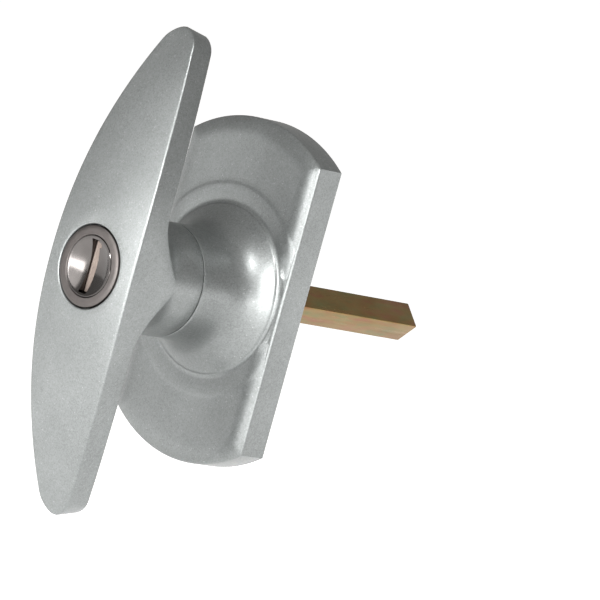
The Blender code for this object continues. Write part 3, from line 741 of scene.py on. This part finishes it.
def make_barrel(look):
    bore_r = PLUG_R + GAP
    profile = [
        (PLUG_HEAD_R + 0.12, FLANGE_FACE_Y + 0.15),
        (PLUG_HEAD_R + 0.27, FLANGE_FACE_Y),
        (LOCK_FACE_R - 1.2, FLANGE_FACE_Y),
        (LOCK_FACE_R - 0.45, FLANGE_FACE_Y + 0.03),
        (LOCK_FACE_R - 0.15, FLANGE_FACE_Y + 0.15),
        (LOCK_FACE_R, FLANGE_FACE_Y + 0.45),
        (LOCK_FACE_R, FLANGE_BACK_Y),
        (BARREL_R, FLANGE_BACK_Y),
        (BARREL_R, BARREL_BACK_Y),
        (TAIL_R + GAP, BARREL_BACK_Y),
        (TAIL_R + GAP, PLUG_BACK_Y + GAP),
        (bore_r, PLUG_BACK_Y + GAP),
        (bore_r, PLUG_HEAD_BACK_Y + GAP),
        (PLUG_HEAD_R + 0.12, PLUG_HEAD_BACK_Y + GAP),
    ]
    barrel = turned("cylinder_shell", profile, 96, closed=True)
    start, end = PLUG_HEAD_BACK_Y + 1.2, PLUG_BACK_Y - 0.2
    combine(barrel, box("groove_up", (-3.1, start, 5), (3.1, end, 7.3)), "DIFFERENCE")
    combine(barrel, box("groove_side", (5, start, -3.1), (7.3, end, 3.1)), "DIFFERENCE")
    ends = (BARREL_PIN_X, BARREL_PIN_Y, -9), (BARREL_PIN_X, BARREL_PIN_Y, 9)
    combine(barrel, rod("pin_groove", BARREL_PIN_HOLE_R, *ends), "DIFFERENCE")
    return shade(barrel, look, 30)


def make_plug(look):
    """The turning core, with its polished dish and keyway."""
    dish = [(DISH_R * s, FLANGE_FACE_Y + DISH_DEPTH * (1 - s**2.2)) for s in (i / 16 for i in range(17))]
    profile = [
        *dish,
        (PLUG_HEAD_R - 0.06, FLANGE_FACE_Y + 0.02),
        (PLUG_HEAD_R, FLANGE_FACE_Y + 0.1),
        (PLUG_HEAD_R, PLUG_HEAD_BACK_Y),
        (PLUG_R, PLUG_HEAD_BACK_Y),
        (PLUG_R, PLUG_BACK_Y),
        (TAIL_R, PLUG_BACK_Y),
        (TAIL_R, BARREL_BACK_Y + 0.1),
        (TAIL_R - 0.8, BARREL_BACK_Y + 0.1),
        (TAIL_R - 0.8, SEAM_Y - 0.2),
        (TAIL_R, SEAM_Y - 0.2),
        (TAIL_R, TAIL_END_Y),
        (0, TAIL_END_Y),
    ]
    plug = turned("cylinder_plug", profile, 96)
    off = -DRIVER_OFFSET
    combine(plug, rod("driver", DRIVER_R, (off, TAIL_END_Y - 1, off), (off, DRIVER_END_Y, off)), "UNION")
    slot, chamber = SLOT_HALF_HEIGHT, CHAMBER_HALF_HEIGHT
    cuts = [
        box("mouth", (-1.3, SLOT_FRONT_Y, -slot), (1.3, FLAP_Y + 0.3, slot)),
        box("step", (1.0, SLOT_FRONT_Y, slot - 1.7), (2.1, FLAP_Y - 0.6, slot - 0.6)),
        box("chamber", (-1.9, FLAP_Y - 0.6, -chamber), (1.5, FLAP_Y + 2.4, chamber)),
        box("keyway", (-1.2, -47.5, -4.4), (1.2, PLUG_BACK_Y - 0.4, 4.4)),
    ]
    for number in range(WAFERS):
        y = WAFER_FIRST_Y + WAFER_PITCH * number
        cuts.append(box("wafer_slot", (-3.1, y - 0.8, -7), (3.1, y + 0.8, 7)))
        cuts.append(box("ear_slot", (2.5, y - 0.8, -0.4), (5.3, y + 0.8, 7)))
        cuts.append(box("spring_pocket", (3.3, y - 0.95, -2.7), (5.2, y + 0.95, 0.5)))
    for cutter in cuts:
        combine(plug, cutter, "DIFFERENCE")
    return shade(plug, look, 28)


def make_shutter(look):
    """The flap behind the key slot, on its own rod."""
    half = FLAP_HALF_HEIGHT
    flap = box("key_shutter", (-1.1, FLAP_Y - 0.25, -half), (1.05, FLAP_Y + 0.25, half))
    ends = (FLAP_ROD_X, FLAP_Y, -half - 0.05), (FLAP_ROD_X, FLAP_Y, half + 0.05)
    combine(flap, rod("shutter_rod", FLAP_ROD_R, *ends), "UNION")
    soften(flap, 0.06, 2)
    return shade(flap, look, 30)


# ---------------------------------------------------------------- materials


class Look:
    """A Principled material whose nodes read object coordinates."""

    def __init__(self, name):
        self.material = bpy.data.materials.new(name)
        self.material.use_nodes = True
        self.nodes = self.material.node_tree.nodes
        self.links = self.material.node_tree.links
        self.shader = self.nodes["Principled BSDF"]
        self.place = self.nodes.new("ShaderNodeTexCoord").outputs["Object"]

    def set(self, socket, value):
        self.shader.inputs[socket].default_value = value

    def feed(self, socket, output):
        self.links.new(output, self.shader.inputs[socket])

    def stretched(self, scale):
        mapping = self.nodes.new("ShaderNodeMapping")
        mapping.inputs["Scale"].default_value = scale
        self.links.new(self.place, mapping.inputs["Vector"])
        return mapping.outputs["Vector"]

    def noise(self, scale, detail=2.0, rough=0.5, vector=None):
        node = self.nodes.new("ShaderNodeTexNoise")
        node.inputs["Scale"].default_value = scale
        node.inputs["Detail"].default_value = detail
        node.inputs["Roughness"].default_value = rough
        self.links.new(vector or self.place, node.inputs["Vector"])
        return node.outputs["Fac"]

    def cells(self, scale):
        node = self.nodes.new("ShaderNodeTexVoronoi")
        node.inputs["Scale"].default_value = scale
        self.links.new(self.place, node.inputs["Vector"])
        return node.outputs["Color"]

    def ramp(self, value, low, high, to_low, to_high):
        node = self.nodes.new("ShaderNodeMapRange")
        numbers = {"From Min": low, "From Max": high, "To Min": to_low, "To Max": to_high}
        for socket, number in numbers.items():
            node.inputs[socket].default_value = number
        self.links.new(value, node.inputs["Value"])
        return node.outputs["Result"]

    def colours(self, value, stops):
        node = self.nodes.new("ShaderNodeValToRGB")
        ramp = node.color_ramp
        while len(ramp.elements) < len(stops):
            ramp.elements.new(0.5)
        for element, (position, colour) in zip(ramp.elements, stops):
            element.position = position
            element.color = (*colour, 1)
        self.links.new(value, node.inputs["Fac"])
        return node.outputs["Color"]

    def mix(self, factor, first, second, blend="MIX"):
        node = self.nodes.new("ShaderNodeMix")
        node.data_type = "RGBA"
        node.blend_type = blend
        node.inputs[0].default_value = factor
        self.links.new(first, node.inputs[6])
        self.links.new(second, node.inputs[7])
        return node.outputs[2]

    def maths(self, operation, first, second):
        node = self.nodes.new("ShaderNodeMath")
        node.operation = operation
        for socket, value in zip(node.inputs, (first, second)):
            if isinstance(value, (int, float)):
                socket.default_value = value
            else:
                self.links.new(value, socket)
        return node.outputs[0]

    def bump(self, height, distance, strength=1.0):
        node = self.nodes.new("ShaderNodeBump")
        node.inputs["Distance"].default_value = distance
        node.inputs["Strength"].default_value = strength
        self.links.new(height, node.inputs["Height"])
        self.links.new(node.outputs["Normal"], self.shader.inputs["Normal"])


def paint_look():
    """Silver-grey paint with fine metal flake over a cast surface."""
    look = Look("silver_flake_paint")
    flakes = look.cells(3600)
    grain = look.noise(1500, 2.0, 0.6)
    cloud = look.noise(70, 3.0, 0.55)
    base = look.colours(cloud, [(0.3, (0.201, 0.211, 0.208)), (0.7, (0.233, 0.244, 0.241))])
    speck = look.colours(look.ramp(flakes, 0.0, 1.0, 0.0, 1.0), [
        (0.0, (0.62, 0.62, 0.62)),
        (0.5, (0.98, 0.98, 0.98)),
        (0.88, (1.15, 1.15, 1.15)),
        (1.0, (1.9, 1.88, 1.85)),
    ])
    look.feed("Base Color", look.mix(0.6, base, speck, "MULTIPLY"))
    look.set("Metallic", 0.8)
    look.feed("Roughness", look.ramp(grain, 0.3, 0.7, 0.34, 0.44))
    look.set("Coat Weight", 0.3)
    look.set("Coat Roughness", 0.12)
    look.bump(look.maths("ADD", look.maths("MULTIPLY", flakes, 0.5), grain), 0.00004, 0.3)
    return look.material


def zinc_look(name, colour, low, high, brushed):
    """Bare metal with faint turning marks."""
    look = Look(name)
    fine = look.noise(2200, 3.0, 0.6)
    cloud = look.noise(260, 3.0, 0.5)
    darker = tuple(c * 0.82 for c in colour)
    look.feed("Base Color", look.colours(cloud, [(0.3, darker), (0.7, colour)]))
    look.set("Metallic", 1.0)
    look.feed("Roughness", look.ramp(fine, 0.3, 0.7, low, high))
    look.bump(fine, 0.00002, brushed)
    return look.material


def spindle_look():
    """Yellow zinc passivation: gold to olive clouds with pink and green tints and drawn lines."""
    look = Look("yellow_passivation")
    along = look.stretched((900, 40, 900))
    lines = look.noise(1.0, 3.0, 0.6, along)
    cloud = look.noise(1.0, 4.0, 0.6, look.stretched((230, 90, 230)))
    tint = look.noise(1.0, 3.0, 0.55, look.stretched((420, 120, 420)))
    gold = look.colours(cloud, [
        (0.28, (0.18, 0.085, 0.028)),
        (0.5, (0.235, 0.145, 0.052)),
        (0.72, (0.26, 0.185, 0.08)),
    ])
    film = look.colours(tint, [
        (0.3, (0.34, 0.11, 0.085)),
        (0.5, (0.28, 0.185, 0.068)),
        (0.7, (0.14, 0.215, 0.095)),
    ])
    look.feed("Base Color", look.mix(0.42, gold, film))
    look.set("Metallic", 0.85)
    look.feed("Roughness", look.ramp(lines, 0.3, 0.7, 0.24, 0.42))
    look.bump(lines, 0.00004, 0.4)
    return look.material


def brass_look(name, colour):
    """Stamped sheet with a satin surface, slightly dulled."""
    look = Look(name)
    cloud = look.noise(420, 3.0, 0.55)
    fine = look.noise(2600, 2.0, 0.5)
    darker = tuple(c * 0.8 for c in colour)
    look.feed("Base Color", look.colours(cloud, [(0.3, darker), (0.7, colour)]))
    look.set("Metallic", 0.55)
    look.feed("Roughness", look.ramp(fine, 0.3, 0.7, 0.4, 0.55))
    look.bump(fine, 0.00002, 0.4)
    return look.material


def nylon_look():
    look = Look("moulded_nylon")
    cloud = look.noise(300, 3.0, 0.5)
    look.feed("Base Color", look.colours(cloud, [(0.3, (0.70, 0.69, 0.64)), (0.7, (0.80, 0.79, 0.75))]))
    look.feed("Roughness", look.ramp(look.noise(1800), 0.3, 0.7, 0.5, 0.62))
    look.set("Subsurface Weight", 0.08)
    return look.material


def floor_look():
    look = Look("pale_floor")
    pale = [(0.3, (0.90, 0.90, 0.90)), (0.7, (0.92, 0.92, 0.92))]
    look.feed("Base Color", look.colours(look.noise(3), pale))
    look.set("Roughness", 0.9)
    look.set("Emission Color", (1, 1, 1, 1))
    look.set("Emission Strength", FLOOR_GLOW)
    return look.material


# ---------------------------------------------------------------- stage


def orbit(azimuth, elevation):
    """The direction from the object towards a camera at these angles in degrees."""
    a, e = math.radians(azimuth), math.radians(elevation)
    return Vector((math.sin(a) * math.cos(e), -math.cos(a) * math.cos(e), math.sin(e)))


def make_camera():
    back = orbit(AZIMUTH, ELEVATION)
    right = Vector((math.cos(math.radians(AZIMUTH)), math.sin(math.radians(AZIMUTH)), 0))
    up = back.cross(right)
    r = math.radians(ROLL)
    x_axis = right * math.cos(r) - up * math.sin(r)
    y_axis = right * math.sin(r) + up * math.cos(r)
    data = bpy.data.cameras.new("camera")
    data.lens = LENS
    data.sensor_width = SENSOR
    data.clip_start = 0.01
    data.clip_end = 200
    camera = bpy.data.objects.new("camera", data)
    bpy.context.scene.collection.objects.link(camera)
    place = x_axis * SHIFT_RIGHT + y_axis * SHIFT_UP + back * DISTANCE
    camera.matrix_world = Matrix(
        ((x_axis.x, y_axis.x, back.x, place.x), (x_axis.y, y_axis.y, back.y, place.y),
         (x_axis.z, y_axis.z, back.z, place.z), (0, 0, 0, 1))
    )
    bpy.context.scene.camera = camera


def softbox(name, place, size, radiance):
    """A rectangular lamp that faces the object, given the brightness of its own surface."""
    data = bpy.data.lights.new(name, "AREA")
    data.shape = "RECTANGLE"
    data.size, data.size_y = size
    data.energy = radiance * math.pi * size[0] * size[1]
    light = bpy.data.objects.new(name, data)
    bpy.context.scene.collection.objects.link(light)
    light.location = place
    light.rotation_euler = (-Vector(place)).to_track_quat("-Z", "Y").to_euler()
    light.visible_camera = False


def make_stage():
    bpy.ops.mesh.primitive_plane_add(size=FLOOR_SIZE, location=(0, 0, FLOOR_Z))
    floor = bpy.context.object
    floor.name = "floor"
    floor.data.materials.append(floor_look())
    floor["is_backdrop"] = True
    world = bpy.data.worlds.new("studio")
    bpy.context.scene.world = world
    world.use_nodes = True
    background = world.node_tree.nodes["Background"]
    background.inputs["Color"].default_value = SKY_COLOUR
    background.inputs["Strength"].default_value = SKY_STRENGTH
    for name, place, size, radiance in SOFTBOXES:
        softbox(name, place, size, radiance)
    bpy.context.scene.view_settings.view_transform = "Standard"


def finish_inside(frame, looks):
    """Gives the frame's own pieces their material, by the slot that the record names."""
    slots = {part["node"]: part["material_slot"] for part in frame["record"]["subparts"]}
    for name, obj in frame["nodes"].items():
        if slots.get(name) in looks:
            obj.data.materials.clear()
            obj.data.materials.append(looks[slots[name]])


def main(frame, cad_box):
    make_camera()

    paint = paint_look()
    face_metal = zinc_look("satin_zinc", (0.125, 0.113, 0.108), 0.34, 0.44, 0.3)
    dish_metal = zinc_look("polished_zinc", (0.14, 0.130, 0.125), 0.12, 0.18, 0.1)
    spring = zinc_look("spring_steel", (0.52, 0.52, 0.53), 0.25, 0.38, 0.3)
    brass = brass_look("brass", (0.62, 0.45, 0.24))
    copper = brass_look("copper_alloy", (0.155, 0.123, 0.105))
    nylon = nylon_look()

    pieces = [
        (make_grip(paint), "grip", "handle_body", "grey_paint"),
        (make_spindle(spindle_look()), "grip", "spindle", "yellow_passivated_steel"),
        (make_rose(paint), "rose_body", "rose", "grey_paint"),
        (make_barrel(face_metal), "grip", "lock_barrel", "bare_zinc"),
        (make_plug(dish_metal), "plug", "lock_plug", "bare_zinc"),
        (make_shutter(copper), "shutter", "dust_shutter", "brass"),
    ]
    for piece, body, node, slot in pieces:
        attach(piece, body)
        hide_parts(node)

    finish_inside(frame, {"spring_steel": spring, "brass": brass, "nylon": nylon})
    make_stage()


for leftover in list(bpy.data.objects):
    bpy.data.objects.remove(leftover)
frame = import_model()
main(frame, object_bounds())
